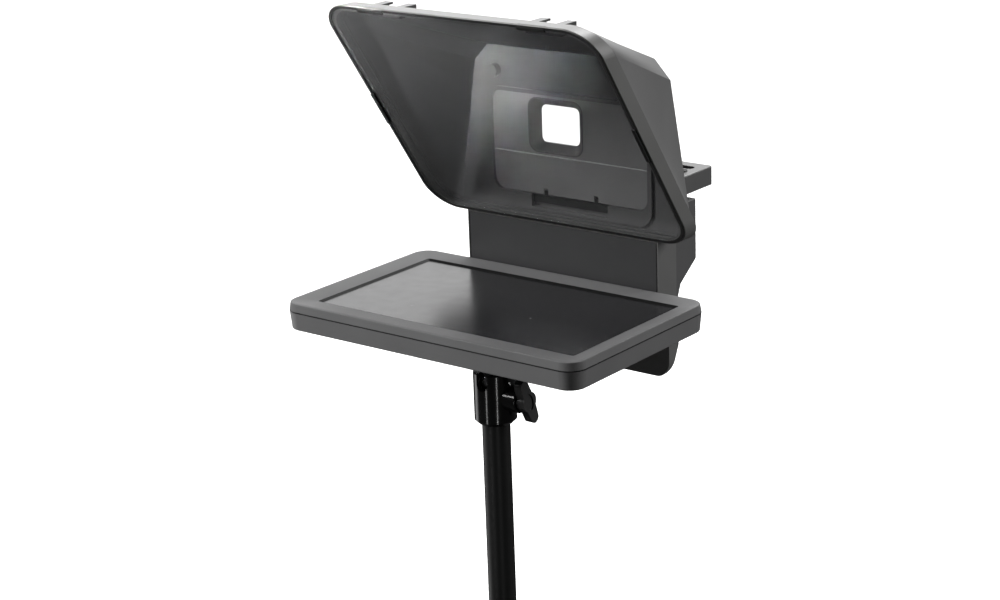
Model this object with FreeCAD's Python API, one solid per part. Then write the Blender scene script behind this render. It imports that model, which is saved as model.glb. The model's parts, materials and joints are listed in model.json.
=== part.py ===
import FreeCAD, Part
import math
import os

# Desktop teleprompter: a screen lying flat in front, a sloping beam-splitter glass in a hood above it,
# a spine that carries both, a camera tray behind, and a ball head on a round pole.
# Everything is drawn in the prompter's frame, in millimetres: X is the width (0 in the middle), Y runs
# from the screen's front edge (0) to the back, and Z is 0 on the underside of the display.
# On export it is moved so that the origin is the pole's lower end, on the pole's axis.

V = FreeCAD.Vector

# ---- display -------------------------------------------------------------------------------------
DISPLAY_W = 229.0
DISPLAY_D = 142.3
DISPLAY_H = 17.65
SEAM_Z = 12.44
DISPLAY_R = 12.0
TRAY_DRAFT = 1.2
BEZEL_DRAFT = 1.0
WALL = 2.0
SCREEN_X = 98.2
SCREEN_Y0 = 20.7
SCREEN_Y1 = 128.0
SCREEN_Z = 14.4
SCREEN_LIP_Z = 15.5
BOSS_R = 3.0
DISPLAY_SCREWS_X = (-104.0, 104.0)
DISPLAY_SCREWS_Y = (12.0, 71.0, 131.0)

# ---- hood and glass ------------------------------------------------------------------------------
GLASS_TILT = 55.53
GLASS_MID_Y = 90.25
GLASS_MID_Z = 126.63
RIM_X = 103.6
RIM_V = 92.9
RIM_R = 22.0
RIM_DEPTH = 12.6
RIM_WALL = 2.4
GLASS_T = 1.3
GASKET_OUT = 0.8
GASKET_IN = 2.8
HOOD_BACK_Y = 158.0
HOOD_WALL = 2.2
HOOD_TOP_Z = 162.8
HOOD_SIDE_Z = 150.4
HOOD_LOW_Z = 51.5
HOOD_TOP_X = 65.5
HOOD_SIDE_X = 77.2
HOOD_LOW_X = 91.8
RIM_ARC_SPLIT = 45.0

# ---- back plate and lens window ------------------------------------------------------------------
PLATE_X = 61.0
PLATE_Z0 = 64.7
PLATE_Z1 = 131.0
PLATE_FOLD_Z = 91.0
PLATE_R = 8.0
PLATE_T = 2.4
LENS_X = -10.6
LENS_Z = 111.0
BEVEL_X0 = 20.9
BEVEL_Z0 = 17.35
BEVEL_X1 = 15.0
BEVEL_Z1 = 12.55
BEVEL_Y1 = 161.6
LATCH_X = 30.0
LATCH_Z0 = 58.8

# ---- accessory shoes -----------------------------------------------------------------------------
SHOE_X = 60.5
SHOE_W = 25.0
SHOE_Y0 = 50.4
SHOE_Y1 = 67.0
SHOE_LOW = 195.4
SHOE_TOP = 202.0
SHOE_FLOOR = 198.5
SHOE_SLOT_W = 18.7
SHOE_SLOT_H = 2.1
SHOE_MOUTH_W = 12.6

# ---- spine ---------------------------------------------------------------------------------------
SPINE_X = 76.0
SPINE_FRONT_Y = 143.4
SPINE_JOIN_Y = 164.0
SPINE_BACK_Y = 189.0
SPINE_TOP_Z = 67.5
FOOT_FRONT_Y = 154.7
FOOT_BACK_Y = 166.0
FOOT_Z = -45.0
FOOT_R = 12.0
FOOT_SLOPE_Z = -24.0
JOIN_LOW_Z = -28.3
SPINE_WALL = 2.4
PANEL_X = 75.0
PANEL_T = 1.2

# ---- camera tray ---------------------------------------------------------------------------------
TRAY_X = 71.0
TRAY_Y0 = 162.5
TRAY_Y1 = 216.0
TRAY_Z0 = 70.5
TRAY_Z1 = 82.7
TRAY_PLATE = 3.2
SLOT_X = 64.0
SLOT_Y = 203.5
SLOT_W = 6.8
SCREW_NECK_R = 2.4
STEM_X = 21.0
STEM_Y = 176.5
STEM_T = 6.0
STEM_Z0 = 28.0
TRAY_KNOB_Z = 55.0
TRAY_KNOB_R = 10.5

# ---- ball head and pole --------------------------------------------------------------------------
POLE_Y = 70.0
POLE_R = 9.1
POLE_WALL = 1.5
POLE_NECK_R = 8.5
POLE_END_Z = -250.0
POLE_TOP_Z = -50.5
HEAD_R = 13.7
HEAD_TOP_Z = -27.0
HEAD_END_Z = -61.5
BALL_Z = -33.5
BALL_R = 10.0
NOTCH_W = 8.6
STEM_R = 3.9
BOSS_Z = -43.5
BOSS_OUTER_R = 8.4
BOSS_END_X = 21.5
CLAMP_SCREW_R = 2.5
STUD_R = 3.175
WHEEL_R = 18.0
WHEEL_T = 5.4
WHEEL_GAP = 1.5
PAD_T = 1.0
RUN = 0.05
GAP = 0.3

FRAME_SHIFT = V(0.0, -POLE_Y, -POLE_END_Z)

made = {}


def add(name, shape):
    """Keep one named piece, or a group of identical pieces, for export."""
    made[name] = shape


def box(x0, x1, y0, y1, z0, z1):
    """Box between two corners."""
    return Part.makeBox(x1 - x0, y1 - y0, z1 - z0, V(x0, y0, z0))


def cyl(r, x, y, z, length, axis=V(0, 0, 1)):
    """Cylinder of radius r that starts at a point and runs along an axis."""
    return Part.makeCylinder(r, length, V(x, y, z), axis)


def rounded_face(hx, hy, r, cx=0.0, cy=0.0, z=0.0):
    """Rounded rectangle of half sizes hx and hy in a plane of constant Z."""
    return Part.Face(rounded_wire(hx, hy, r, V(cx, cy, z), V(1, 0, 0), V(0, 1, 0)))


def rounded_wire(hu, hv, r, mid, u, v):
    """Rounded rectangle wire with half sizes hu, hv on the plane through mid spanned by u and v."""
    edges = []
    corners = [(1, 1, 0), (-1, 1, 90), (-1, -1, 180), (1, -1, 270)]
    arcs = []
    for su, sv, a0 in corners:
        centre = mid + u * (su * (hu - r)) + v * (sv * (hv - r))
        ends = []
        for a in (a0, a0 + 45, a0 + 90):
            ends.append(centre + u * (r * math.cos(math.radians(a))) + v * (r * math.sin(math.radians(a))))
        arcs.append(ends)
    for i, ends in enumerate(arcs):
        edges.append(Part.Arc(ends[0], ends[1], ends[2]).toShape())
        edges.append(Part.makeLine(ends[2], arcs[(i + 1) % 4][0]))
    return Part.Wire(edges)


def rounded_slab(hx, hy, r, cx, cy, z0, z1):
    """Upright prism with a rounded rectangular plan."""
    return rounded_face(hx, hy, r, cx, cy, z0).extrude(V(0, 0, z1 - z0))


def drafted_slab(hx, hy, r, cx, cy, z0, z1, inset0, inset1):
    """Rounded prism whose plan is inset by inset0 at the bottom and inset1 at the top."""
    wires = []
    for z, inset in ((z0, inset0), (z1, inset1)):
        wires.append(rounded_wire(hx - inset, hy - inset, r - inset, V(cx, cy, z), V(1, 0, 0), V(0, 1, 0)))
    return Part.makeLoft(wires, True, True)


def prism_yz(points, x0, x1):
    """Polygon of (y, z) points drawn along X."""
    ring = [V(x0, y, z) for y, z in points]
    ring.append(ring[0])
    return Part.Face(Part.makePolygon(ring)).extrude(V(x1 - x0, 0, 0))


def plate_xz(hx, z0, z1, r, y0, y1, cx=0.0):
    """Rounded rectangle in a plane of constant Y, thickened along Y."""
    mid = V(cx, y0, (z0 + z1) / 2)
    wire = rounded_wire(hx, (z1 - z0) / 2, r, mid, V(1, 0, 0), V(0, 0, 1))
    return Part.Face(wire).extrude(V(0, y1 - y0, 0))


def fillet_where(shape, r, test):
    """Round the edges that a test picks, and keep the plain shape if the rounding is not sound."""
    edges = [e for e in shape.Edges if test(e)]
    if not edges:
        return shape
    try:
        rounded = shape.makeFillet(r, edges)
    except Exception:
        print("fillet left out:", r, len(edges))
        return shape
    if rounded.isValid() and rounded.Volume > 0.5 * shape.Volume:
        return rounded
    print("fillet not sound:", r, len(edges))
    return shape


def at_level(level, axis=2, tol=0.01):
    """Test for edges that lie wholly at one coordinate."""
    def test(edge):
        box_ = edge.BoundBox
        low = (box_.XMin, box_.YMin, box_.ZMin)[axis]
        high = (box_.XMax, box_.YMax, box_.ZMax)[axis]
        return abs(low - level) < tol and abs(high - level) < tol
    return test


def group(shapes):
    """Several separate solids as one node."""
    return Part.makeCompound(shapes)


def pan_screw(x, y, z, axis, shank_r, shank_l, head_r, head_h, cross=0.9):
    """Screw with a domed head and a cross recess; z is under the head and axis points to the head."""
    axis = V(axis).normalize()
    start = V(x, y, z)
    shank = Part.makeCylinder(shank_r, shank_l, start, axis * -1)
    head = Part.makeCylinder(head_r, head_h, start, axis)
    head = fillet_where(head, head_h * 0.45,
                        lambda e: e.BoundBox.Center.sub(start + axis * head_h).Length < 0.01)
    screw = head.fuse(shank)
    side = V(0, 0, 1) if abs(axis.z) < 0.5 else V(1, 0, 0)
    other = axis.cross(side)
    for a, b in ((side, other), (other, side)):
        half_l = head_r * 0.55
        half_w = head_r * 0.13
        corner = start + axis * (head_h * 0.45) - a * half_l - b * half_w
        ring = [corner, corner + a * (2 * half_l), corner + a * (2 * half_l) + b * (2 * half_w),
                corner + b * (2 * half_w), corner]
        screw = screw.cut(Part.Face(Part.makePolygon(ring)).extrude(axis * head_h))
    return screw


# ---- the glass plane -----------------------------------------------------------------------------
TILT = math.radians(GLASS_TILT)
HOOD_U = V(1, 0, 0)
HOOD_V = V(0, -math.cos(TILT), math.sin(TILT))
HOOD_W = V(0, math.sin(TILT), math.cos(TILT))
HOOD_MID = V(0, GLASS_MID_Y, GLASS_MID_Z)


def on_glass(u, v, w=0.0):
    """Point given by distances across the glass, up its slope and behind it."""
    return HOOD_MID + HOOD_U * u + HOOD_V * v + HOOD_W * w


def sleeve(inset, y0, y1):
    """Solid with the glass outline, inset from the rim's, from depth y0 to y1 behind the glass."""
    wire = rounded_wire(RIM_X - inset, RIM_V - inset, max(RIM_R - inset, 1.0),
                        HOOD_MID + V(0, y0, 0), HOOD_U, HOOD_V)
    return Part.Face(wire).extrude(V(0, y1 - y0, 0))


def glass_box(u0, u1, v0, v1, w0, w1):
    """Box along the glass axes."""
    ring = [on_glass(u0, v0, w0), on_glass(u1, v0, w0), on_glass(u1, v1, w0), on_glass(u0, v1, w0)]
    ring.append(ring[0])
    return Part.Face(Part.makePolygon(ring)).extrude(HOOD_W * (w1 - w0))


def front_outline(inset, depth):
    """Hood outline at the rim: rounded corners, the upper ones split where the corner facet starts."""
    hu = RIM_X - inset
    hv = RIM_V - inset
    r = RIM_R - inset

    def arc(su, sv, a0, a1):
        centre = on_glass(su * (hu - r), sv * (hv - r)) + V(0, depth, 0)
        ends = []
        for a in (a0, (a0 + a1) / 2, a1):
            t = math.radians(a)
            ends.append(centre + HOOD_U * (r * math.cos(t)) + HOOD_V * (r * math.sin(t)))
        return Part.Arc(*ends).toShape()

    arcs = [arc(1, 1, 0, RIM_ARC_SPLIT), arc(1, 1, RIM_ARC_SPLIT, 90),
            arc(-1, 1, 90, 180 - RIM_ARC_SPLIT), arc(-1, 1, 180 - RIM_ARC_SPLIT, 180),
            arc(-1, -1, 180, 270), arc(1, -1, 270, 360)]
    edges = [arcs[0], arcs[1]]
    edges.append(Part.makeLine(arcs[1].Vertexes[-1].Point, arcs[2].Vertexes[0].Point))
    edges.extend([arcs[2], arcs[3]])
    edges.append(Part.makeLine(arcs[3].Vertexes[-1].Point, arcs[4].Vertexes[0].Point))
    edges.append(arcs[4])
    edges.append(Part.makeLine(arcs[4].Vertexes[-1].Point, arcs[5].Vertexes[0].Point))
    edges.append(arcs[5])
    edges.append(Part.makeLine(arcs[5].Vertexes[-1].Point, arcs[0].Vertexes[0].Point))
    return Part.Wire(edges)


def back_outline(inset, y):
    """Hood outline at its upright back wall, edge for edge like the front outline."""
    r_low = 7.0 - inset * 0.5
    top = HOOD_TOP_Z - inset
    side_x = HOOD_SIDE_X - inset
    low_x = HOOD_LOW_X - inset
    low = HOOD_LOW_Z + inset * 0.3
    half = [(side_x, HOOD_SIDE_Z - inset * 0.6), (HOOD_TOP_X - inset * 0.6, top), (HOOD_TOP_X - 14.0, top)]
    right = [V(x, y, z) for x, z in half]
    left = [V(-p.x, p.y, p.z) for p in reversed(right)]
    low_left = [V(-low_x, y, low + r_low), V(-low_x + 0.29 * r_low, y, low + 0.29 * r_low),
                V(-low_x + r_low, y, low)]
    low_right = [V(-p.x, p.y, p.z) for p in reversed(low_left)]
    edges = [Part.makeLine(right[0], right[1]), Part.makeLine(right[1], right[2]),
             Part.makeLine(right[2], left[0]), Part.makeLine(left[0], left[1]),
             Part.makeLine(left[1], left[2]), Part.makeLine(left[2], low_left[0]),
             Part.Arc(*low_left).toShape(), Part.makeLine(low_left[2], low_right[0]),
             Part.Arc(*low_right).toShape(), Part.makeLine(low_right[2], right[0])]
    return Part.Wire(edges)


# ---- display -------------------------------------------------------------------------------------
def display_case():
    """Lower case of the display: drafted tray with screw posts and slots for the spine bracket."""
    hx = DISPLAY_W / 2
    hy = DISPLAY_D / 2
    outer = drafted_slab(hx, hy, DISPLAY_R, 0, hy, 0.0, SEAM_Z, TRAY_DRAFT, 0.0)
    outer = fillet_where(outer, 1.0, at_level(0.0))
    inner = drafted_slab(hx - WALL, hy - WALL, DISPLAY_R - WALL, 0, hy, WALL, SEAM_Z, TRAY_DRAFT * 0.8, 0.0)
    case = outer.cut(inner)
    for x in DISPLAY_SCREWS_X:
        for y in DISPLAY_SCREWS_Y:
            case = case.fuse(cyl(BOSS_R + 1.2, x, y, WALL - 0.5, 6.5))
    case = case.fuse(cyl(10.5, 0, POLE_Y, WALL - 0.5, 8.5))
    for x in (-60.0, 60.0):
        case = case.fuse(box(x - 0.8, x + 0.8, 16.0, 126.0, WALL - 0.5, 5.0))
    for y in (36.0, 106.0):
        case = case.fuse(box(-96.0, 96.0, y - 0.8, y + 0.8, WALL - 0.5, 5.0))
    for x in DISPLAY_SCREWS_X:
        for y in DISPLAY_SCREWS_Y:
            case = case.cut(cyl(1.5, x, y, -1.0, 12.0))
            case = case.cut(cyl(3.2, x, y, -1.0, 3.0))
    case = case.cut(cyl(5.0, 0, POLE_Y, -1.0, 14.0))
    case = case.cut(box(-46.2, 46.2, 96.0, DISPLAY_D + 2.0, WALL, WALL + 2.4))
    return case.removeSplitter()


def display_frame():
    """Upper frame of the display: drafted rim whose inner faces slope down to the screen."""
    hx = DISPLAY_W / 2
    hy = DISPLAY_D / 2
    frame = drafted_slab(hx, hy, DISPLAY_R, 0, hy, SEAM_Z, DISPLAY_H, 0.0, BEZEL_DRAFT)
    frame = fillet_where(frame, 0.7, at_level(DISPLAY_H))
    mid_y = (SCREEN_Y0 + SCREEN_Y1) / 2
    screen_hy = (SCREEN_Y1 - SCREEN_Y0) / 2
    top_wire = rounded_wire(hx - 3.0, hy - 3.0, DISPLAY_R - 3.0, V(0, hy, DISPLAY_H + 0.02),
                            V(1, 0, 0), V(0, 1, 0))
    low_wire = rounded_wire(SCREEN_X + 2.2, screen_hy + 2.0, 2.0, V(0, mid_y, SCREEN_LIP_Z),
                            V(1, 0, 0), V(0, 1, 0))
    frame = frame.cut(Part.makeLoft([low_wire, top_wire], True, True))
    step_top = rounded_wire(SCREEN_X + 2.2, screen_hy + 2.0, 2.0, V(0, mid_y, SCREEN_LIP_Z + 0.1),
                            V(1, 0, 0), V(0, 1, 0))
    step_low = rounded_wire(SCREEN_X, screen_hy, 0.8, V(0, mid_y, SCREEN_Z), V(1, 0, 0), V(0, 1, 0))
    frame = frame.cut(Part.makeLoft([step_low, step_top], True, True))
    cavity = drafted_slab(hx - WALL, hy - WALL, DISPLAY_R - WALL, 0, hy, SEAM_Z - 0.1,
                          SCREEN_Z - 1.2, 0.0, 0.4)
    frame = frame.cut(cavity)
    frame = frame.cut(box(-SCREEN_X - 2.5, SCREEN_X + 2.5, SCREEN_Y0 - 2.5, SCREEN_Y1 + 2.5,
                          SCREEN_Z - 1.3, SCREEN_Z))
    for x in DISPLAY_SCREWS_X:
        for y in DISPLAY_SCREWS_Y:
            post = cyl(BOSS_R, x, y, SEAM_Z - 4.0, SCREEN_Z - SEAM_Z + 2.9)
            frame = frame.fuse(post.cut(cyl(1.2, x, y, SEAM_Z - 4.1, 4.6)))
    return frame.removeSplitter()


def build_display():
    """Display unit: case, frame, cover glass, panel, backlight, board and fasteners."""
    add("display_case", display_case())
    add("display_frame", display_frame())
    glass = box(-SCREEN_X - 2.2, SCREEN_X + 2.2, SCREEN_Y0 - 2.2, SCREEN_Y1 + 2.2, SCREEN_Z - 1.1, SCREEN_Z)
    add("screen_glass", glass)
    add("lcd_panel", box(-SCREEN_X - 1.5, SCREEN_X + 1.5, SCREEN_Y0 - 1.5, SCREEN_Y1 + 1.5,
                         SCREEN_Z - 3.0, SCREEN_Z - 1.2))
    add("backlight", box(-SCREEN_X - 1.0, SCREEN_X + 1.0, SCREEN_Y0 - 1.0, SCREEN_Y1 + 1.0,
                         SCREEN_Z - 4.2, SCREEN_Z - 3.05))
    board = box(14.0, 58.0, 42.0, 100.0, 5.1, 6.7)
    add("display_board", board.cut(cyl(1.6, 18.0, 46.0, 4.0, 4.0)).cut(cyl(1.6, 54.0, 96.0, 4.0, 4.0)))
    chips = [box(24.0, 34.0, 54.0, 64.0, 6.72, 8.2), box(40.0, 48.0, 70.0, 78.0, 6.72, 7.9),
             box(20.0, 44.0, 92.0, 97.0, 6.72, 9.0)]
    add("board_chips", group(chips))
    insert = cyl(4.95, 0, POLE_Y, 0.2, 9.6).cut(cyl(STUD_R + 0.06, 0, POLE_Y, 0.1, 9.9))
    for z in (2.4, 5.2):
        ring = cyl(5.1, 0, POLE_Y, z, 1.0).cut(cyl(4.4, 0, POLE_Y, z - 0.1, 1.2))
        insert = insert.cut(ring)
    add("thread_insert", insert)
    screws = []
    for x in DISPLAY_SCREWS_X:
        for y in DISPLAY_SCREWS_Y:
            screws.append(pan_screw(x, y, 2.0, V(0, 0, -1), 1.15, 8.6, 2.6, 1.5))
    add("case_screws", group(screws))


# ---- spine ---------------------------------------------------------------------------------------
def spine_outline(inset, y0, y1, top):
    """Upright slab with the spine's front outline: straight sides and rounded lower corners."""
    r = FOOT_R - inset
    hx = SPINE_X - inset
    low = FOOT_Z + inset
    slab = plate_xz(hx, low, low + 2 * r + 4.0, r, y0, y1)
    return slab.fuse(box(-hx, hx, y0, y1, low + r, top)).removeSplitter()


RIM_LOW_Z = on_glass(0, -RIM_V).z


def front_profile(inset):
    """Side profile of the spine's front half, inset inward on every face."""
    step_z = -1.0 + inset
    ledge_z = RIM_LOW_Z - GAP - inset
    back_y = SPINE_JOIN_Y if inset == 0 else SPINE_JOIN_Y + 0.1
    hood_y = HOOD_BACK_Y + 0.4 + inset
    return [(SPINE_FRONT_Y + inset, step_z), (FOOT_FRONT_Y + inset, step_z),
            (FOOT_FRONT_Y + inset, FOOT_Z + 1.8 + inset), (FOOT_FRONT_Y + 1.6 + inset, FOOT_Z + inset),
            (back_y, JOIN_LOW_Z + inset), (back_y, SPINE_TOP_Z - inset), (hood_y, SPINE_TOP_Z - inset),
            (hood_y, ledge_z), (SPINE_FRONT_Y + inset, ledge_z)]


def back_profile(inset):
    """Side profile of the spine's back half."""
    front_y = SPINE_JOIN_Y if inset == 0 else SPINE_JOIN_Y - 0.1
    return [(front_y, JOIN_LOW_Z + inset * 1.3), (FOOT_BACK_Y - inset, FOOT_SLOPE_Z + inset * 0.6),
            (FOOT_BACK_Y - inset, 9.0 + inset * 0.3), (169.0 - inset * 0.6, 16.0 + inset * 0.9),
            (SPINE_BACK_Y - inset, 30.0 + inset * 0.6), (SPINE_BACK_Y - inset, SPINE_TOP_Z - inset),
            (front_y, SPINE_TOP_Z - inset)]


def build_spine():
    """Spine: front and back shells, the inlaid front panel, steel bracket, port board and screws."""
    top = SPINE_TOP_Z + 5.0
    inner_x = SPINE_X - SPINE_WALL
    front = prism_yz(front_profile(0.0), -SPINE_X, SPINE_X)
    front = front.common(spine_outline(0.0, SPINE_FRONT_Y - 1, SPINE_JOIN_Y + 1, top))
    front = front.cut(prism_yz(front_profile(SPINE_WALL), -inner_x, inner_x)
                      .common(spine_outline(SPINE_WALL, SPINE_FRONT_Y - 1, SPINE_JOIN_Y + 1, top)))
    panel_low = DISPLAY_H - 16.0
    panel_high = RIM_LOW_Z - 1.3
    recess = box(-PANEL_X - 0.35, PANEL_X + 0.35, SPINE_FRONT_Y - 1.0, SPINE_FRONT_Y + PANEL_T + 0.1,
                 panel_low - 0.3, panel_high + 0.3)
    front = front.cut(recess)
    front = front.cut(box(-46.2, 46.2, SPINE_FRONT_Y - 1.0, SPINE_FRONT_Y + 4.0, WALL, WALL + 2.4))
    for x in (-62.0, 62.0):
        for z in (-14.0, 40.0):
            post = cyl(4.0, x, FOOT_FRONT_Y + 1.0, z, SPINE_JOIN_Y - FOOT_FRONT_Y - 1.0, V(0, 1, 0))
            front = front.fuse(post.cut(cyl(1.3, x, SPINE_JOIN_Y - 6.0, z, 7.0, V(0, 1, 0))))
    add("spine_front_shell", front.removeSplitter())
    panel = box(-PANEL_X, PANEL_X, SPINE_FRONT_Y + 0.1, SPINE_FRONT_Y + PANEL_T, panel_low, panel_high)
    panel = panel.cut(box(-46.2, 46.2, SPINE_FRONT_Y - 1.0, SPINE_FRONT_Y + 4.0, WALL, WALL + 2.4))
    add("spine_front_panel", panel)

    back = prism_yz(back_profile(0.0), -SPINE_X, SPINE_X)
    back = back.common(spine_outline(0.0, SPINE_JOIN_Y - 1, SPINE_BACK_Y + 1, top))
    back = fillet_where(back, 3.0, lambda e: abs(e.BoundBox.YMin - SPINE_BACK_Y) < 0.01
                        and e.BoundBox.ZLength > 20)
    back = back.cut(prism_yz(back_profile(SPINE_WALL), -inner_x, inner_x))
    back = back.cut(box(-STEM_X - 3.2, STEM_X + 3.2, STEM_Y - 6.2, STEM_Y + 6.2, SPINE_TOP_Z - 4.0,
                        SPINE_TOP_Z + 1.0))
    back = back.fuse(cyl(7.0, 0, SPINE_BACK_Y - SPINE_WALL - 1.8, TRAY_KNOB_Z, 3.0, V(0, 1, 0)))
    back = back.cut(cyl(CLAMP_SCREW_R + RUN, 0, SPINE_BACK_Y - 6.0, TRAY_KNOB_Z, 8.0, V(0, 1, 0)))
    for x in (-62.0, 62.0):
        for z, depth in ((-14.0, FOOT_BACK_Y), (40.0, SPINE_BACK_Y)):
            well = cyl(4.2, x, SPINE_JOIN_Y, z, depth - SPINE_JOIN_Y - 0.5, V(0, 1, 0))
            if depth - SPINE_JOIN_Y > 10:
                back = back.fuse(well)
                back = back.cut(cyl(2.9, x, SPINE_JOIN_Y + 4.0, z, depth, V(0, 1, 0)))
            back = back.cut(cyl(1.6, x, SPINE_JOIN_Y - 1.0, z, depth, V(0, 1, 0)))
    back = back.cut(box(-4.7, 4.7, FOOT_BACK_Y - 4.0, FOOT_BACK_Y + 1.0, -11.7, -8.3))
    add("spine_back_shell", back.removeSplitter())

    leg = box(-46.0, 46.0, 98.0, 151.0, WALL + 0.1, WALL + 2.1)
    upright = box(-46.0, 46.0, 149.0, 151.0, WALL + 0.1, 46.0)
    upper = box(-46.0, 46.0, 149.0, 162.8, 44.0, 46.0).fuse(box(-46.0, 46.0, 160.8, 162.8, 44.0, 64.0))
    bracket = leg.fuse(upright).fuse(upper)
    for x in (-34.0, 34.0):
        for y in (106.0, 128.0):
            bracket = bracket.cut(cyl(1.8, x, y, 0.0, 6.0))
    for x in (-24.0, 0.0, 24.0):
        bracket = bracket.cut(cyl(8.0, x, 140.0, 30.0, 20.0, V(0, 1, 0)))
    bracket = bracket.removeSplitter()
    add("spine_bracket", bracket)

    add("port_board", box(-14.0, 14.0, 158.2, 159.8, -22.0, 4.0))
    socket = box(-4.5, 4.5, 159.85, FOOT_BACK_Y - 0.4, -11.6, -8.4)
    socket = fillet_where(socket, 1.4, lambda e: e.BoundBox.YLength > 5.0)
    hollow = box(-4.1, 4.1, 161.5, FOOT_BACK_Y, -11.2, -8.8)
    hollow = fillet_where(hollow, 1.0, lambda e: e.BoundBox.YLength > 4.0)
    socket = socket.cut(hollow)
    tongue = box(-3.0, 3.0, 161.0, FOOT_BACK_Y - 1.2, -10.3, -9.7)
    add("usb_socket", socket.fuse(tongue).removeSplitter())
    screws = []
    for x in (-62.0, 62.0):
        screws.append(pan_screw(x, FOOT_BACK_Y + 0.05, -14.0, V(0, 1, 0), 1.25, 7.0, 2.7, 1.4))
        screws.append(pan_screw(x, SPINE_JOIN_Y + 4.05, 40.0, V(0, 1, 0), 1.25, 9.0, 2.7, 1.6))
    add("spine_screws", group(screws))


# ---- hood ----------------------------------------------------------------------------------------
def build_hood():
    """Rim, glass, gasket, clips and the hollow hood behind them."""
    rim = sleeve(0.0, 0.0, RIM_DEPTH)
    rim = fillet_where(rim, 0.7, lambda e: abs((e.BoundBox.Center - HOOD_MID).dot(HOOD_W)) < 0.02
                       and abs(e.BoundBox.ZLength - e.BoundBox.YLength * math.tan(TILT)) < 0.05)
    rim = rim.cut(sleeve(RIM_WALL, -1.0, RIM_DEPTH + 1.0))
    ledge = sleeve(RIM_WALL - 0.2, GLASS_T + 0.05, GLASS_T + 1.8).cut(sleeve(5.0, -1.0, RIM_DEPTH))
    rim = rim.fuse(ledge)
    clip_spots = [(-61.0, 1, "top"), (61.0, 1, "top"), (-1, 0.0, "side"), (1, 0.0, "side")]
    clips = []
    for a, b, where in clip_spots:
        if where == "top":
            notch = glass_box(a - 10.4, a + 10.4, RIM_V - 2.6, RIM_V - 1.0, -1.2, 2.0)
            body = glass_box(a - 10.0, a + 10.0, RIM_V - 3.6, RIM_V - 1.2, -1.25, -0.45)
            hook = glass_box(a - 10.0, a + 10.0, RIM_V - 1.9, RIM_V - 1.2, -0.46, 1.7)
        else:
            side = a
            u0, u1 = sorted((side * (RIM_X - 3.6), side * (RIM_X - 1.2)))
            n0, n1 = sorted((side * (RIM_X - 2.6), side * (RIM_X - 1.0)))
            h0, h1 = sorted((side * (RIM_X - 1.9), side * (RIM_X - 1.2)))
            notch = glass_box(n0, n1, -13.9, 13.9, -1.2, 2.0)
            body = glass_box(u0, u1, -13.5, 13.5, -1.25, -0.45)
            hook = glass_box(h0, h1, -13.5, 13.5, -0.46, 1.7)
        rim = rim.cut(notch)
        clips.append(body.fuse(hook).removeSplitter())
    add("hood_rim", rim.removeSplitter())
    add("glass_clips", group(clips))
    add("beam_splitter", sleeve(RIM_WALL + 0.1, 0.0, GLASS_T))
    gasket = sleeve(GASKET_OUT, -0.4, -0.02).cut(sleeve(GASKET_IN, -1.0, 1.0))
    for a, b, where in clip_spots:
        if where == "top":
            gasket = gasket.cut(glass_box(a - 10.4, a + 10.4, RIM_V - 4.2, RIM_V + 1.0, -2.0, 2.0))
        else:
            u0, u1 = sorted((a * (RIM_X - 4.2), a * (RIM_X + 1.0)))
            gasket = gasket.cut(glass_box(u0, u1, -13.9, 13.9, -2.0, 2.0))
    add("glass_gasket", gasket)

    outer = Part.makeLoft([front_outline(0.0, RIM_DEPTH), back_outline(0.0, HOOD_BACK_Y)], True, True)
    inner = Part.makeLoft([front_outline(HOOD_WALL, RIM_DEPTH - 0.01),
                           back_outline(HOOD_WALL, HOOD_BACK_Y - HOOD_WALL)], True, True)
    hood = outer.cut(inner)
    lip = sleeve(RIM_WALL + 0.15, RIM_DEPTH - 3.0, RIM_DEPTH + 0.4)
    lip = lip.cut(sleeve(RIM_WALL + 1.5, RIM_DEPTH - 4.0, RIM_DEPTH + 2.0))
    hood = hood.fuse(lip)
    wall_y = HOOD_BACK_Y - HOOD_WALL
    border = plate_xz(PLATE_X + 3.4, LATCH_Z0 - 4.6, PLATE_Z1 + 2.8, PLATE_R + 2.4, wall_y - 1.6,
                      wall_y + 0.2)
    hood = hood.fuse(border)
    for side in (-1, 1):
        hood = hood.fuse(cyl(4.6, side * (PLATE_X - 2.6), wall_y - 5.0, PLATE_Z1 + 13.0, 5.2, V(0, 1, 0)))
        hood = hood.cut(cyl(1.3, side * (PLATE_X - 2.6), wall_y - 3.6, PLATE_Z1 + 13.0, 8.0, V(0, 1, 0)))
    hood = hood.cut(plate_xz(PLATE_X + 0.25, PLATE_Z0 - 0.25, PLATE_Z1 + 0.25, PLATE_R, wall_y - 8,
                             HOOD_BACK_Y + 2))
    hood = hood.cut(box(-LATCH_X - 0.4, LATCH_X + 0.4, wall_y - 8, HOOD_BACK_Y + 2, LATCH_Z0 - 2.9,
                        PLATE_Z0 + 2))
    for side in (-1, 1):
        x = side * SHOE_X
        hood = hood.cut(box(x - SHOE_W / 2 - 0.1, x + SHOE_W / 2 + 0.1, SHOE_Y0 - 0.05, SHOE_Y1 + 0.1,
                            SHOE_LOW - 0.1, SHOE_TOP + 5))
    hood = hood.cut(lens_frame_space(0.3))
    add("hood_shell", hood.removeSplitter())


def frustum_xz(hx0, hz0, r0, y0, hx1, hz1, r1, y1):
    """Tapered block along Y round the lens axis, with rounded rectangular ends."""
    wires = []
    for hx, hz, r, y in ((hx0, hz0, r0, y0), (hx1, hz1, r1, y1)):
        wires.append(rounded_wire(hx, hz, r, V(LENS_X, y, LENS_Z), V(1, 0, 0), V(0, 0, 1)))
    return Part.makeLoft(wires, True, True)


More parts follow.
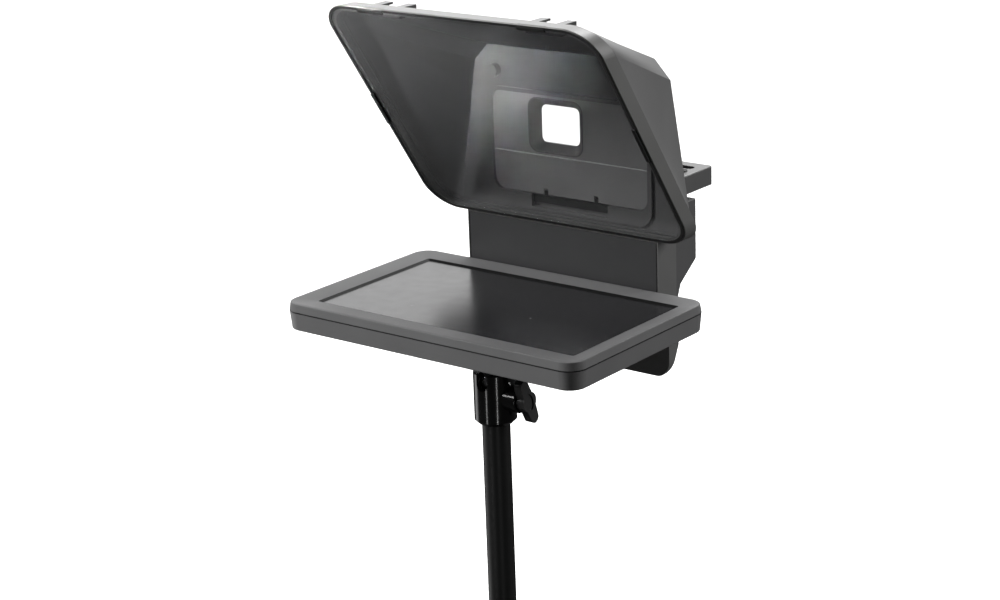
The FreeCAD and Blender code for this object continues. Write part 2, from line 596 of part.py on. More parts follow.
def lens_frame_space(gap):
    """Room the lens frame takes, widened by a gap all round."""
    y0 = HOOD_BACK_Y - PLATE_T
    return frustum_xz(BEVEL_X0 + 1.0 + gap, BEVEL_Z0 + 1.0 + gap, 7.5, y0,
                      BEVEL_X1 + 2.0 + gap, BEVEL_Z1 + 2.0 + gap, 6.2, BEVEL_Y1)


def build_backplate():
    """Back plate with the lens window, its lower panel, the sprung latch and the light seal."""
    y0 = HOOD_BACK_Y - PLATE_T
    y1 = HOOD_BACK_Y
    bevel = frustum_xz(BEVEL_X0, BEVEL_Z0, 6.5, y0, BEVEL_X1, BEVEL_Z1, 4.2, BEVEL_Y1)
    core = lens_frame_space(0.15)
    outline = plate_xz(PLATE_X, PLATE_Z0, PLATE_Z1, PLATE_R, y0, y1)
    flange = plate_xz(PLATE_X + 3.0, PLATE_FOLD_Z + 3.0, PLATE_Z1 + 3.0, PLATE_R, y1 + 0.1, y1 + 2.0)
    upper = outline.cut(box(-80, 80, y0 - 1, y1 + 5, PLATE_Z0 - 5, PLATE_FOLD_Z + 0.3))
    bridge = box(-PLATE_X + 8, PLATE_X - 8, y1 - 0.1, y1 + 0.2, PLATE_FOLD_Z + 6, PLATE_Z1 - 6)
    plate = upper.fuse(bridge).fuse(flange).cut(core)
    for x in (-PLATE_X + 7.0, PLATE_X - 7.0):
        for z in (PLATE_Z1 - 7.0, PLATE_FOLD_Z + 10.0):
            plate = plate.cut(cyl(1.3, x, y0 + 0.8, z, 8.0, V(0, 1, 0)))
    add("back_plate", plate.removeSplitter())
    lower = outline.cut(box(-80, 80, y0 - 1, y1 + 5, PLATE_FOLD_Z - 0.3, PLATE_Z1 + 5))
    slant = prism_yz([(y0 - 2.0, PLATE_FOLD_Z + 1), (y0 + 0.02, PLATE_FOLD_Z + 1),
                      (y0 + 0.02, PLATE_FOLD_Z - 2.0),
                      (y0 + 0.9, PLATE_Z0 - 1.0), (y0 - 2.0, PLATE_Z0 - 1.0)], -80, 80)
    lower = lower.cut(slant)
    for x in (-20.0, 20.0):
        lower = lower.cut(box(x - 1.6, x + 1.6, y0 - 1, y1 + 1, PLATE_Z0 - 1, PLATE_Z0 + 4.0))
    add("lower_plate", lower.removeSplitter())

    latch = box(-LATCH_X, LATCH_X, y0 + 0.4, y1 - 0.1, LATCH_Z0, PLATE_Z0 - 0.6)
    for x in (-20.0, 20.0):
        latch = latch.fuse(box(x - 1.3, x + 1.3, y0 + 1.0, y1 - 0.1, LATCH_Z0 + 1, PLATE_Z0 + 2.6))
    latch = latch.cut(box(-9.0, 9.0, y1 - 1.0, y1 + 1.0, LATCH_Z0 + 1.2, PLATE_Z0 - 1.8))
    add("plate_latch", latch.removeSplitter())

    add("lens_frame", lens_frame_space(0.0).cut(bevel).removeSplitter())
    seal = plate_xz(BEVEL_X1 + 6.4, LENS_Z - BEVEL_Z1 - 5.85, LENS_Z + BEVEL_Z1 + 5.85, 8.5,
                    y1 + 2.05, y1 + 3.55, LENS_X)
    seal_hole = plate_xz(BEVEL_X1 + 3.8, LENS_Z - BEVEL_Z1 - 3.55, LENS_Z + BEVEL_Z1 + 3.55, 6.9,
                         y1, y1 + 5, LENS_X)
    add("light_seal", seal.cut(seal_hole))
    screws = []
    for x in (-PLATE_X + 7.0, PLATE_X - 7.0):
        for z in (PLATE_Z1 - 7.0, PLATE_FOLD_Z + 10.0):
            screws.append(pan_screw(x, y1 + 2.02, z, V(0, 1, 0), 1.2, 2.8, 2.4, 1.2))
    add("plate_screws", group(screws))


def build_shoes():
    """Two accessory shoes let into the hood's top, level with the rim: floor, walls and inward lips."""
    for side, name in ((-1, "shoe_left"), (1, "shoe_right")):
        x = side * SHOE_X
        half = SHOE_W / 2
        body = box(x - half, x + half, SHOE_Y0, SHOE_Y1, SHOE_LOW, SHOE_TOP)
        slot = box(x - SHOE_SLOT_W / 2, x + SHOE_SLOT_W / 2, SHOE_Y0 + 1.2, SHOE_Y1 + 1.0,
                   SHOE_FLOOR, SHOE_FLOOR + SHOE_SLOT_H)
        mouth = box(x - SHOE_MOUTH_W / 2, x + SHOE_MOUTH_W / 2, SHOE_Y0 + 1.2, SHOE_Y1 + 1.0,
                    SHOE_FLOOR, SHOE_TOP + 1)
        body = body.cut(slot).cut(mouth)
        body = body.cut(prism_yz([(SHOE_Y0 + 4.0, SHOE_LOW - 1), (SHOE_Y1 + 1, SHOE_LOW - 1),
                                  (SHOE_Y1 + 1, SHOE_LOW + 0.6), (SHOE_Y0 + 4.0, SHOE_LOW + 0.6)],
                                 x - half + 2.0, x + half - 2.0))
        rim_ring = sleeve(-0.3, RIM_DEPTH - 6.0, RIM_DEPTH + 0.1)
        rim_ring = rim_ring.cut(sleeve(RIM_WALL + 0.1, RIM_DEPTH - 7.0, RIM_DEPTH + 1.0))
        add(name, body.cut(rim_ring).removeSplitter())


# ---- camera tray ---------------------------------------------------------------------------------
def build_tray():
    """Camera tray on a flat stem that slides in the spine, with a captive camera screw and a clamp knob."""
    mid_y = (TRAY_Y0 + TRAY_Y1) / 2
    half_y = (TRAY_Y1 - TRAY_Y0) / 2
    tray = rounded_slab(TRAY_X, half_y, 3.0, 0, mid_y, TRAY_Z0, TRAY_Z1)
    tray = fillet_where(tray, 0.8, at_level(TRAY_Z1))
    hollow = rounded_slab(TRAY_X - 2.4, half_y - 2.4, 1.2, 0, mid_y, TRAY_Z0 - 1, TRAY_Z1 - TRAY_PLATE)
    tray = tray.cut(hollow)
    tray = tray.fuse(box(-STEM_X - 3.0, STEM_X + 3.0, STEM_Y - 6.0, STEM_Y + 6.0, TRAY_Z0 + 0.5,
                         TRAY_Z1 - 2.0))
    tray = tray.cut(box(-STEM_X, STEM_X, STEM_Y - STEM_T / 2, STEM_Y + STEM_T / 2, TRAY_Z0 - 1,
                        TRAY_Z1 - 3.0))
    for x in (-48.0, 48.0):
        tray = tray.fuse(box(x - 0.9, x + 0.9, TRAY_Y0 + 1, SLOT_Y - 10.5, TRAY_Z0 + 2.0, TRAY_Z1 - 2.0))
    slot = rounded_slab(SLOT_X, SLOT_W / 2, SLOT_W / 2 - 0.01, 0, SLOT_Y, TRAY_Z0 - 1, TRAY_Z1 + 1)
    add("camera_tray", tray.cut(slot).removeSplitter())
    stem = box(-STEM_X, STEM_X, STEM_Y - STEM_T / 2, STEM_Y + STEM_T / 2, STEM_Z0, TRAY_Z1 - 3.05)
    stem = fillet_where(stem, 1.0, lambda e: e.BoundBox.ZLength > 20)
    add("tray_stem", stem)
    pad = rounded_slab(TRAY_X - 6.0, 3.6, 3.0, 0, TRAY_Y0 + 12.0, TRAY_Z1 + 0.02, TRAY_Z1 + 0.8)
    pad_two = rounded_slab(TRAY_X - 6.0, 3.6, 3.0, 0, SLOT_Y - 10.5, TRAY_Z1 + 0.02, TRAY_Z1 + 0.8)
    add("tray_pads", group([pad, pad_two]))

    guide = box(-STEM_X - 3.0, STEM_X + 3.0, STEM_Y - 6.0, STEM_Y + 6.0, 29.0, SPINE_TOP_Z - 0.2)
    guide = guide.cut(box(-STEM_X - RUN, STEM_X + RUN, STEM_Y - STEM_T / 2 - RUN, STEM_Y + STEM_T / 2 + RUN,
                          28.5, SPINE_TOP_Z + 1))
    guide = guide.cut(cyl(3.2, 0, STEM_Y + 1.0, TRAY_KNOB_Z, 8.0, V(0, 1, 0)))
    add("stem_guide", guide)
    pad_y = STEM_Y + STEM_T / 2 + GAP * 0.5
    add("stem_brake", cyl(3.0, 0, pad_y, TRAY_KNOB_Z, 2.0, V(0, 1, 0)))
    screw_y = pad_y + 2.02
    screw = cyl(CLAMP_SCREW_R, 0, screw_y, TRAY_KNOB_Z, SPINE_BACK_Y + 8.0 - screw_y, V(0, 1, 0))
    add("tray_clamp_screw", screw)
    knob = knurled_knob(TRAY_KNOB_R, 10.0, 12, 1.6)
    knob.rotate(V(0, 0, 0), V(1, 0, 0), -90)
    knob.translate(V(0, SPINE_BACK_Y + 1.2, TRAY_KNOB_Z))
    knob = knob.cut(cyl(CLAMP_SCREW_R, 0, SPINE_BACK_Y, TRAY_KNOB_Z, 8.0, V(0, 1, 0)))
    add("tray_clamp_knob", knob)

    plate_low = TRAY_Z1 - TRAY_PLATE
    washer = cyl(7.0, 0, SLOT_Y, plate_low - 1.3, 1.25)
    washer = washer.fuse(cyl(SLOT_W / 2 - 0.1, 0, SLOT_Y, plate_low - 1.3, TRAY_PLATE))
    washer = washer.cut(cyl(SCREW_NECK_R + RUN, 0, SLOT_Y, plate_low - 3, 9.0))
    add("screw_collar", washer)
    head = knurled_knob(8.6, 6.6, 18, 0.7)
    head.translate(V(0, SLOT_Y, plate_low - 1.4 - 6.6))
    neck = cyl(SCREW_NECK_R, 0, SLOT_Y, plate_low - 3.0, TRAY_PLATE + 3.1)
    shaft = cyl(STUD_R, 0, SLOT_Y, TRAY_Z1, 5.0)
    shaft = shaft.makeChamfer(0.5, [e for e in shaft.Edges if at_level(TRAY_Z1 + 5.0)(e)])
    add("camera_screw", head.fuse(neck).fuse(shaft).removeSplitter())


def knurled_knob(r, h, count, groove):
    """Round knob standing on Z = 0 with grooves round its rim."""
    knob = Part.makeCylinder(r, h)
    knob = fillet_where(knob, min(1.0, h * 0.2), at_level(h))
    for i in range(count):
        a = 2 * math.pi * i / count
        centre = V((r + groove * 0.45) * math.cos(a), (r + groove * 0.45) * math.sin(a), -1)
        knob = knob.cut(Part.makeCylinder(groove, h + 2, centre))
    return knob


# ---- ball head and pole --------------------------------------------------------------------------
def build_head():
    """Pole, head body, ball with its platform wheel, brake and wing knob."""
    tube = cyl(POLE_R, 0, POLE_Y, POLE_END_Z, POLE_TOP_Z - POLE_END_Z)
    tube = tube.cut(cyl(POLE_R - POLE_WALL, 0, POLE_Y, POLE_END_Z - 1, POLE_TOP_Z - POLE_END_Z + 2))
    neck_ring = cyl(POLE_R + 1.0, 0, POLE_Y, HEAD_END_Z, POLE_TOP_Z - HEAD_END_Z + 1.0)
    neck_ring = neck_ring.cut(cyl(POLE_NECK_R, 0, POLE_Y, HEAD_END_Z - 1.0, POLE_TOP_Z - HEAD_END_Z + 3.0))
    add("pole_tube", tube.cut(neck_ring))
    end = cyl(POLE_R - POLE_WALL, 0, POLE_Y, POLE_END_Z, 18.0)
    end = end.cut(cyl(STUD_R, 0, POLE_Y, POLE_END_Z - 1, 13.0))
    add("pole_foot_plug", end)
    top = cyl(POLE_R - POLE_WALL, 0, POLE_Y, POLE_TOP_Z - 14.0, 14.0)
    top = top.cut(cyl(2.6, 0, POLE_Y, POLE_TOP_Z - 15.0, 17.0))
    add("pole_top_plug", top)

    body = cyl(HEAD_R, 0, POLE_Y, HEAD_END_Z, HEAD_TOP_Z - HEAD_END_Z)
    body = body.makeChamfer(2.4, [e for e in body.Edges if at_level(HEAD_END_Z)(e)])
    body = fillet_where(body, 0.8, at_level(HEAD_TOP_Z))
    boss = cyl(BOSS_OUTER_R, 0, POLE_Y, BOSS_Z, BOSS_END_X, V(1, 0, 0))
    boss = fillet_where(boss, 0.8, at_level(BOSS_END_X, 0))
    body = body.fuse(boss)
    ball_mid = V(0, POLE_Y, BALL_Z)
    body = body.cut(Part.makeSphere(BALL_R + 0.12, ball_mid))
    body = body.cut(cyl(7.6, 0, POLE_Y, BALL_Z + 4.0, 10.0))
    cone = Part.makeCone(7.4, 13.2, 4.6, V(0, POLE_Y, HEAD_TOP_Z - 1.6))
    body = body.cut(cone)
    body = body.cut(cyl(8.0, 0, POLE_Y, BALL_Z - 11.0, 5.0))
    notch = box(-NOTCH_W / 2, NOTCH_W / 2, POLE_Y - 30, POLE_Y, BALL_Z, HEAD_TOP_Z + 5)
    notch = notch.fuse(cyl(NOTCH_W / 2, 0, POLE_Y - 30, BALL_Z, 30.0, V(0, 1, 0)))
    body = body.cut(notch)
    body = body.cut(cyl(POLE_NECK_R + 0.04, 0, POLE_Y, HEAD_END_Z - 1, POLE_TOP_Z - HEAD_END_Z + 1.02))
    body = body.cut(cyl(2.6, 0, POLE_Y, POLE_TOP_Z - 1.0, 8.0))
    body = body.cut(cyl(4.55, 6.0, POLE_Y, BOSS_Z, 8.0, V(1, 0, 0)))
    body = body.cut(cyl(CLAMP_SCREW_R + RUN, 10.0, POLE_Y, BOSS_Z, 20.0, V(1, 0, 0)))
    add("head_body", body.removeSplitter())
    add("pole_bolt", pan_screw(0, POLE_Y, POLE_TOP_Z - 14.05, V(0, 0, -1), 2.5, 18.0, 4.4, 2.6))

    seat = cyl(7.9, 0, POLE_Y, BALL_Z - 10.95, 3.6)
    seat = seat.cut(Part.makeSphere(BALL_R + 0.12, ball_mid))
    seat = seat.cut(cyl(3.4, 0, POLE_Y, BALL_Z - 12.0, 8.0))
    seat = seat.cut(cyl(4.7, 5.0, POLE_Y, BOSS_Z, 6.0, V(1, 0, 0)))
    add("ball_seat", seat.removeSplitter())

    wheel_low = -PAD_T - WHEEL_T
    ball = Part.makeSphere(BALL_R, ball_mid)
    flange_top = wheel_low - WHEEL_GAP
    stem = cyl(STEM_R, 0, POLE_Y, BALL_Z, flange_top - 1.2 - BALL_Z)
    flange = cyl(6.5, 0, POLE_Y, flange_top - 1.2, 1.2)
    stud = cyl(STUD_R, 0, POLE_Y, flange_top - 0.5, 8.2 - flange_top)
    add("ball_stem", ball.fuse(stem).fuse(flange).fuse(stud).removeSplitter())
    wheel = knurled_knob(WHEEL_R, WHEEL_T, 30, 0.9)
    wheel.translate(V(0, POLE_Y, wheel_low))
    add("lock_wheel", wheel.cut(cyl(STUD_R + RUN, 0, POLE_Y, wheel_low - 1, WHEEL_T + 2)))
    pad = cyl(WHEEL_R - 2.0, 0, POLE_Y, -PAD_T + 0.02, PAD_T - 0.04)
    add("wheel_pad", pad.cut(cyl(STUD_R + 0.4, 0, POLE_Y, -PAD_T - 1, PAD_T + 2)))

    shoe_start = 7.0
    brake = cyl(4.5, shoe_start, POLE_Y, BOSS_Z, 5.4, V(1, 0, 0))
    brake = brake.cut(Part.makeSphere(BALL_R + 0.3, ball_mid))
    add("ball_brake", brake)
    screw_start = shoe_start + 5.45
    screw = cyl(CLAMP_SCREW_R, screw_start, POLE_Y, BOSS_Z, WING_X + WING_SOCKET - screw_start, V(1, 0, 0))
    add("clamp_screw", screw)
    add("wing_knob", wing_knob())


WING_X = 21.9
WING_T = 5.8
WING_SOCKET = 3.8
WING_TILT = 22.7


def wing_knob():
    """Wing knob: a round hub with two tapering wings and an oval hollow on its outer face."""
    hub = cyl(6.6, 0, 0, 0, WING_T)
    shape = hub
    for sign in (1, -1):
        ring = [V(-4.9, 0, 0), V(4.9, 0, 0), V(3.7, sign * 13.0, 0), V(-3.7, sign * 13.0, 0), V(-4.9, 0, 0)]
        blade = Part.Face(Part.makePolygon(ring)).extrude(V(0, 0, WING_T))
        shape = shape.fuse(blade).fuse(cyl(3.75, 0, sign * 12.6, 0, WING_T))
    shape = shape.removeSplitter()
    hollow = Part.Ellipse(V(0, 0, WING_T - 0.9), 6.0, 3.4)
    oval = Part.Face(Part.Wire(hollow.toShape())).extrude(V(0, 0, 3.0))
    oval.rotate(V(0, 0, 0), V(0, 0, 1), 90)
    shape = shape.cut(oval)
    shape = shape.cut(cyl(CLAMP_SCREW_R, 0, 0, -1, WING_SOCKET + 1))
    shape.rotate(V(0, 0, 0), V(0, 1, 0), 90)
    shape.rotate(V(0, 0, 0), V(1, 0, 0), 90 + WING_TILT)
    shape.translate(V(WING_X, POLE_Y, BOSS_Z))
    return shape


def export_all():
    """Write one STEP file for each node, moved to the part's own frame."""
    os.makedirs("parts", exist_ok=True)
    for name, shape in made.items():
        shape.translate(FRAME_SHIFT)
        if not shape.isValid():
            print("not valid:", name)
        for solid in shape.Solids:
            if solid.Volume < 0.5:
                print("tiny solid in", name, solid.Volume)
        shape.exportStep(os.path.join("parts", name + ".step"))
    print(len(made), "nodes written")


build_display()
build_spine()
build_hood()
build_backplate()
build_shoes()
build_tray()
build_head()
export_all()
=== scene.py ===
import bpy
import json
import math
from mathutils import Matrix, Vector

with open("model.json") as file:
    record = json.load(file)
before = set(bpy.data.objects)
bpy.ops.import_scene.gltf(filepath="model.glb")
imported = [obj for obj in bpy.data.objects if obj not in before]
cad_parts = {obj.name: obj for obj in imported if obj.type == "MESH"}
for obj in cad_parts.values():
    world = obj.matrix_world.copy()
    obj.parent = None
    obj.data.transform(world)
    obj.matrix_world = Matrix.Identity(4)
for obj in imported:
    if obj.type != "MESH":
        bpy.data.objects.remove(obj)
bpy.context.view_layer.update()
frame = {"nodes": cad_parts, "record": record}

# one material per slot of the record; plastics: colour, roughness, grain size (1/m), grain depth
PLASTIC = {
    "case_plastic": ((0.105, 0.105, 0.106), 0.42, 1500, 0.10),
    "frame_plastic": ((0.099, 0.099, 0.100), 0.50, 1500, 0.10),
    "spine_plastic": ((0.055, 0.055, 0.056), 0.45, 1500, 0.10),
    "panel_plastic": ((0.028, 0.028, 0.029), 0.45, 1500, 0.10),
    "rim_plastic": ((0.090, 0.090, 0.088), 0.38, 1500, 0.08),
    "clip_plastic": ((0.012, 0.012, 0.012), 0.35, 1200, 0.05),
    "hood_plastic": ((0.072, 0.072, 0.072), 0.45, 1500, 0.10),
    "plate_plastic": ((0.165, 0.165, 0.166), 0.45, 1500, 0.10),
    "lens_frame_plastic": ((0.062, 0.062, 0.062), 0.55, 1500, 0.10),
    "tray_plastic": ((0.060, 0.060, 0.060), 0.42, 1500, 0.10),
    "guide_plastic": ((0.05, 0.05, 0.05), 0.4, 900, 0.05),
    "chip_plastic": ((0.02, 0.02, 0.02), 0.5, 2000, 0.05),
    "knob_plastic": ((0.026, 0.026, 0.026), 0.38, 1200, 0.06),
    "circuit_board": ((0.01, 0.09, 0.03), 0.35, 700, 0.04),
    "backlight_film": ((0.7, 0.7, 0.7), 0.5, 600, 0.02),
    "lcd_layers": ((0.006, 0.006, 0.007), 0.15, 300, 0.01),
    "seat_nylon": ((0.6, 0.6, 0.56), 0.45, 900, 0.05),
    "gasket_rubber": ((0.008, 0.008, 0.008), 0.7, 2500, 0.15),
    "seal_foam": ((0.015, 0.015, 0.015), 0.9, 1400, 0.6),
    "pad_rubber": ((0.02, 0.02, 0.02), 0.75, 2500, 0.2),
}
# metals: colour, roughness, metallic
METAL = {
    "shoe_metal": ((0.05, 0.05, 0.05), 0.35, 0.6),
    "screw_steel": ((0.10, 0.10, 0.10), 0.30, 1.0),
    "bracket_steel": ((0.5, 0.5, 0.5), 0.32, 1.0),
    "socket_steel": ((0.6, 0.6, 0.62), 0.25, 1.0),
    "collar_steel": ((0.25, 0.25, 0.25), 0.30, 1.0),
    "camera_screw_steel": ((0.45, 0.45, 0.46), 0.28, 1.0),
    "stem_aluminium": ((0.06, 0.06, 0.06), 0.35, 0.8),
    "plug_aluminium": ((0.55, 0.55, 0.56), 0.30, 1.0),
    "ball_metal": ((0.18, 0.18, 0.19), 0.20, 1.0),
    "wheel_metal": ((0.03, 0.03, 0.03), 0.30, 0.8),
    "brass_insert": ((0.66, 0.47, 0.20), 0.28, 1.0),
    "brass_pad": ((0.66, 0.47, 0.20), 0.28, 1.0),
}
# how strongly some plastics reflect; the rest take PLAIN_GLOSS
PLAIN_GLOSS = 0.4
GLOSS = {"frame_plastic": 0.05, "case_plastic": 0.35, "clip_plastic": 0.2, "panel_plastic": 0.25}
# dark seams and one band of painted shade: axis, start and end in metres, on both sides or not, and
# limits on other axes
BANDS = {
    "frame_plastic": [("Z", 0.26200, 0.26262),
                      # the second frame band is painted shade: the dark inner step from the screen up
                      # to the bezel's lip, where shade falls
                      ("Z", 0.26435, 0.26552, False, (("X", -0.1005, 0.1005), ("Y", -0.060, 0.062)))],
    "case_plastic": [("Z", 0.26180, 0.26250)],
    "panel_plastic": [("X", 0.07440, 0.07600, True)],
}
# painted parts: colour, roughness, coat, reflection
PAINT = {"pole_paint": (0.004, 0.42, 0.0, 0.30), "head_paint": (0.004, 0.16, 0.30, 0.40)}


SLOW_SCALE = 28.0          # 1/m, size of the slow colour drift
BUMP_DISTANCE = 0.00008    # m, height of the grain
SEAM_AND_SHADE_LEVEL = 0.04          # how much of the colour stays in a dark seam or in the painted shade band
FLOOR_REACH = 30           # m, half the floor's width
SUN_STRENGTH = 3.9
SUN_ANGLE = 25             # degrees, apparent size, for soft shadows
SUN_TURN = (-38, -8, 0)    # degrees, so it shines from above and behind
AMBIENT = 0.045
# glows of the surround: direction, cosine where it starts, cosine where it is full, level
GLOWS = [((-0.59, 0.75, 0.30), 0.84, 0.98, 2.4), ((-0.85, -0.10, -0.52), 0.94, 0.995, 1.8)]
# camera, in metres and degrees; the turns are azimuth, elevation and roll
LENS_MM = 80.36
CAMERA_PLACE = (0.82968, -1.04065, 0.69004)
CAMERA_TURNS = (38.34, 17.56, -2.04)


def grain(tree, shader, color, rough, scale, depth, spread):
    """Fine surface grain: slow colour drift, roughness variation and a bump."""
    nodes, links = tree.nodes, tree.links
    coord = nodes.new("ShaderNodeTexCoord")
    fine = nodes.new("ShaderNodeTexNoise")
    fine.inputs["Scale"].default_value = scale
    fine.inputs["Detail"].default_value = 3.0
    slow = nodes.new("ShaderNodeTexNoise")
    slow.inputs["Scale"].default_value = SLOW_SCALE
    slow.inputs["Detail"].default_value = 2.0
    for tex in (fine, slow):
        links.new(coord.outputs["Object"], tex.inputs["Vector"])
    tint = nodes.new("ShaderNodeValToRGB")
    tint.color_ramp.elements[0].position = 0.3
    tint.color_ramp.elements[1].position = 0.7
    tint.color_ramp.elements[0].color = [c * (1 - spread) for c in color] + [1]
    tint.color_ramp.elements[1].color = [min(1, c * (1 + spread)) for c in color] + [1]
    links.new(slow.outputs["Fac"], tint.inputs["Fac"])
    links.new(tint.outputs["Color"], shader.inputs["Base Color"])
    vary = nodes.new("ShaderNodeMapRange")
    vary.inputs["To Min"].default_value = max(0.03, rough - 0.05)
    vary.inputs["To Max"].default_value = min(1.0, rough + 0.06)
    links.new(fine.outputs["Fac"], vary.inputs["Value"])
    links.new(vary.outputs["Result"], shader.inputs["Roughness"])
    bump = nodes.new("ShaderNodeBump")
    bump.inputs["Strength"].default_value = depth
    bump.inputs["Distance"].default_value = BUMP_DISTANCE
    links.new(fine.outputs["Fac"], bump.inputs["Height"])
    links.new(bump.outputs["Normal"], shader.inputs["Normal"])


def between(tree, value, low, high):
    """One where a value lies between two limits, else zero."""
    near = tree.nodes.new("ShaderNodeMath")
    near.operation = "COMPARE"
    near.inputs[1].default_value = (low + high) / 2
    near.inputs[2].default_value = (high - low) / 2
    tree.links.new(value, near.inputs[0])
    return near.outputs[0]


def dark_band(tree, shader, axis, low, high, both_sides=False, within=()):
    """Darkens the surface where one object coordinate, in metres, lies between two values."""
    nodes, links = tree.nodes, tree.links
    coord = nodes.new("ShaderNodeTexCoord")
    split = nodes.new("ShaderNodeSeparateXYZ")
    links.new(coord.outputs["Object"], split.inputs["Vector"])
    value = split.outputs[axis]
    if both_sides:
        size = nodes.new("ShaderNodeMath")
        size.operation = "ABSOLUTE"
        links.new(value, size.inputs[0])
        value = size.outputs[0]
    mask = between(tree, value, low, high)
    for other, start, end in within:
        both = nodes.new("ShaderNodeMath")
        both.operation = "MULTIPLY"
        links.new(mask, both.inputs[0])
        links.new(between(tree, split.outputs[other], start, end), both.inputs[1])
        mask = both.outputs[0]
    mix = nodes.new("ShaderNodeMix")
    mix.data_type = "RGBA"
    mix.blend_type = "MULTIPLY"
    mix.inputs["B"].default_value = (SEAM_AND_SHADE_LEVEL, SEAM_AND_SHADE_LEVEL, SEAM_AND_SHADE_LEVEL, 1)
    links.new(mask, mix.inputs["Factor"])
    links.new(shader.inputs["Base Color"].links[0].from_socket, mix.inputs["A"])
    links.new(mix.outputs["Result"], shader.inputs["Base Color"])


def blank(name):
    """New material and its shader node."""
    mat = bpy.data.materials.new(name)
    mat.use_nodes = True
    return mat, mat.node_tree.nodes["Principled BSDF"]


def make(slot):
    """Material of one slot, by the table it stands in."""
    mat, bsdf = blank(slot)
    if slot in PLASTIC:
        color, rough, scale, depth = PLASTIC[slot]
        bsdf.inputs["Specular IOR Level"].default_value = GLOSS.get(slot, PLAIN_GLOSS)
        grain(mat.node_tree, bsdf, color, rough, scale, depth, 0.05)
        for band in BANDS.get(slot, ()):
            dark_band(mat.node_tree, bsdf, *band)
    elif slot in METAL:
        color, rough, metallic = METAL[slot]
        bsdf.inputs["Metallic"].default_value = metallic
        grain(mat.node_tree, bsdf, color, rough, 900, 0.06, 0.10)
    elif slot in PAINT:
        level, rough, coat, reflection = PAINT[slot]
        bsdf.inputs["Coat Weight"].default_value = coat
        bsdf.inputs["Coat Roughness"].default_value = 0.08
        bsdf.inputs["Specular IOR Level"].default_value = reflection
        grain(mat.node_tree, bsdf, (level, level, level), rough, 260, 0.03, 0.12)
    elif slot == "screen_glass":
        bsdf.inputs["Specular IOR Level"].default_value = 0.21
        grain(mat.node_tree, bsdf, (0.006, 0.006, 0.007), 0.24, 120, 0.01, 0.10)
    else:
        # half-mirror: part reflected, the rest passes straight through
        bsdf.inputs["Metallic"].default_value = 1.0
        bsdf.inputs["Alpha"].default_value = 0.16
        grain(mat.node_tree, bsdf, (0.80, 0.81, 0.82), 0.17, 60, 0.0, 0.02)
    return mat


slots = {}
# painted light: the spine's front shell gets a lighter copy of the spine plastic, standing in for the
# light falling on its front face
PLASTIC["spine_front"] = ((0.085, 0.085, 0.084), 0.42, 1500, 0.10)
for part in frame["record"]["subparts"]:
    slots.setdefault(part["material_slot"], []).append(part["node"])
for slot, nodes in slots.items():
    mat = make(slot)
    for node in nodes:
        obj = frame["nodes"][node]
        obj.data.materials.clear()
        obj.data.materials.append(mat)

lit_front_shell_mat = make("spine_front")
frame["nodes"]["spine_front_shell"].data.materials[0] = lit_front_shell_mat

# pale floor
CORNERS = ((-1, -1), (1, -1), (1, 1), (-1, 1))
mesh = bpy.data.meshes.new("floor")
mesh.from_pydata([(x * FLOOR_REACH, y * FLOOR_REACH, 0) for x, y in CORNERS], [], [(0, 1, 2, 3)])
floor = bpy.data.objects.new("floor", mesh)
bpy.context.collection.objects.link(floor)
floor_mat, floor_bsdf = blank("floor_pale")
grain(floor_mat.node_tree, floor_bsdf, (0.93, 0.93, 0.93), 0.8, 40, 0.02, 0.01)
mesh.materials.append(floor_mat)
floor.visible_diffuse = False
floor.visible_glossy = False
floor.visible_shadow = False


def softbox(name, place, aim, size, power, diffuse=True, spread=180):
    """Rectangular lamp turned towards a point; it may show only in reflections."""
    lamp = bpy.data.lights.new(name, "AREA")
    lamp.shape = "RECTANGLE"
    lamp.size, lamp.size_y = size
    lamp.energy = power
    lamp.spread = math.radians(spread)
    obj = bpy.data.objects.new(name, lamp)
    obj.location = place
    obj.rotation_euler = (Vector(aim) - Vector(place)).to_track_quat("-Z", "Y").to_euler()
    obj.visible_diffuse = diffuse
    bpy.context.collection.objects.link(obj)


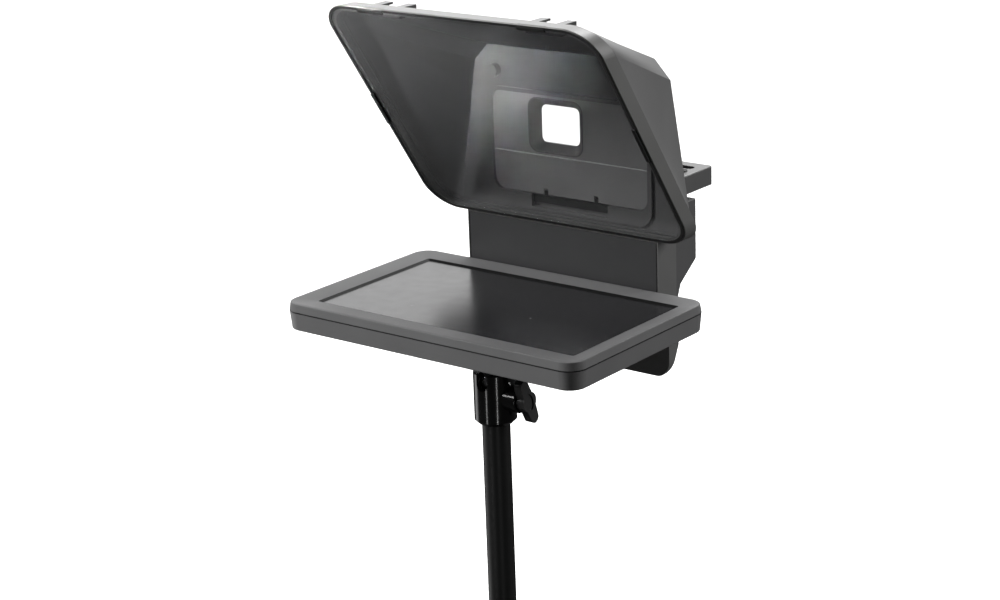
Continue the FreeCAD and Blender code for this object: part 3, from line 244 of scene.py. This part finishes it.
softbox("front_left_softbox", (-1.62, -1.50, 1.75), (0, 0, 0.3), (0.6, 1.5), 128)
softbox("front_softbox", (-0.37, -2.1, -0.3), (0, 0, 0.2), (0.14, 1.1), 3, False)
softbox("hood_softbox", (-0.25, -1.9, 0.75), (-0.055, 0.085, 0.405), (0.06, 0.06), 0.12, True, 4.2)
softbox("thin_strip", (1.60, -1.46, -0.3), (0, 0, 0.2), (0.03, 1.1), 3, False)
softbox("right_rear_softbox", (1.95, 1.40, 1.15), (0, 0, 0.3), (0.6, 1.5), 60)
sun = bpy.data.lights.new("top_light", "SUN")
sun.energy = SUN_STRENGTH
sun.angle = math.radians(SUN_ANGLE)
sun_obj = bpy.data.objects.new("top_light", sun)
sun_obj.rotation_euler = [math.radians(turn) for turn in SUN_TURN]
bpy.context.collection.objects.link(sun_obj)

# studio surround: dim all round, bright low behind the object, and a glow low on the left
world = bpy.data.worlds.new("studio")
bpy.context.scene.world = world
world.use_nodes = True
tree = world.node_tree
coord = tree.nodes.new("ShaderNodeTexCoord")


def glow(direction, start, full, level):
    """Strength that rises smoothly towards one direction."""
    dot = tree.nodes.new("ShaderNodeVectorMath")
    dot.operation = "DOT_PRODUCT"
    dot.inputs[1].default_value = Vector(direction).normalized()
    tree.links.new(coord.outputs["Generated"], dot.inputs[0])
    ramp = tree.nodes.new("ShaderNodeMapRange")
    ramp.interpolation_type = "SMOOTHSTEP"
    ramp.inputs["From Min"].default_value = start
    ramp.inputs["From Max"].default_value = full
    ramp.inputs["To Max"].default_value = level
    tree.links.new(dot.outputs["Value"], ramp.inputs["Value"])
    return ramp.outputs["Result"]


total = None
for part in [glow(*row) for row in GLOWS]:
    add = tree.nodes.new("ShaderNodeMath")
    add.operation = "ADD"
    add.inputs[1].default_value = AMBIENT
    if total is not None:
        tree.links.new(total, add.inputs[1])
    tree.links.new(part, add.inputs[0])
    total = add.outputs[0]
tree.links.new(total, tree.nodes["Background"].inputs["Strength"])
tree.nodes["Background"].inputs["Color"].default_value = (1, 1, 1, 1)

cam = bpy.data.cameras.new("camera")
cam.sensor_width = 36
cam.lens = LENS_MM
cam.clip_start = 0.05
cam_obj = bpy.data.objects.new("camera", cam)
az, el, roll = [math.radians(angle) for angle in CAMERA_TURNS]
back = Vector((math.sin(az) * math.cos(el), -math.cos(az) * math.cos(el), math.sin(el)))
right0 = Vector((math.cos(az), math.sin(az), 0))
up0 = back.cross(right0)
right = right0 * math.cos(roll) + up0 * math.sin(roll)
up = up0 * math.cos(roll) - right0 * math.sin(roll)
turn = Matrix((right, up, back)).transposed().to_4x4()
cam_obj.matrix_world = Matrix.Translation(CAMERA_PLACE) @ turn
bpy.context.collection.objects.link(cam_obj)
bpy.context.scene.camera = cam_obj
bpy.context.scene.view_settings.view_transform = "Standard"
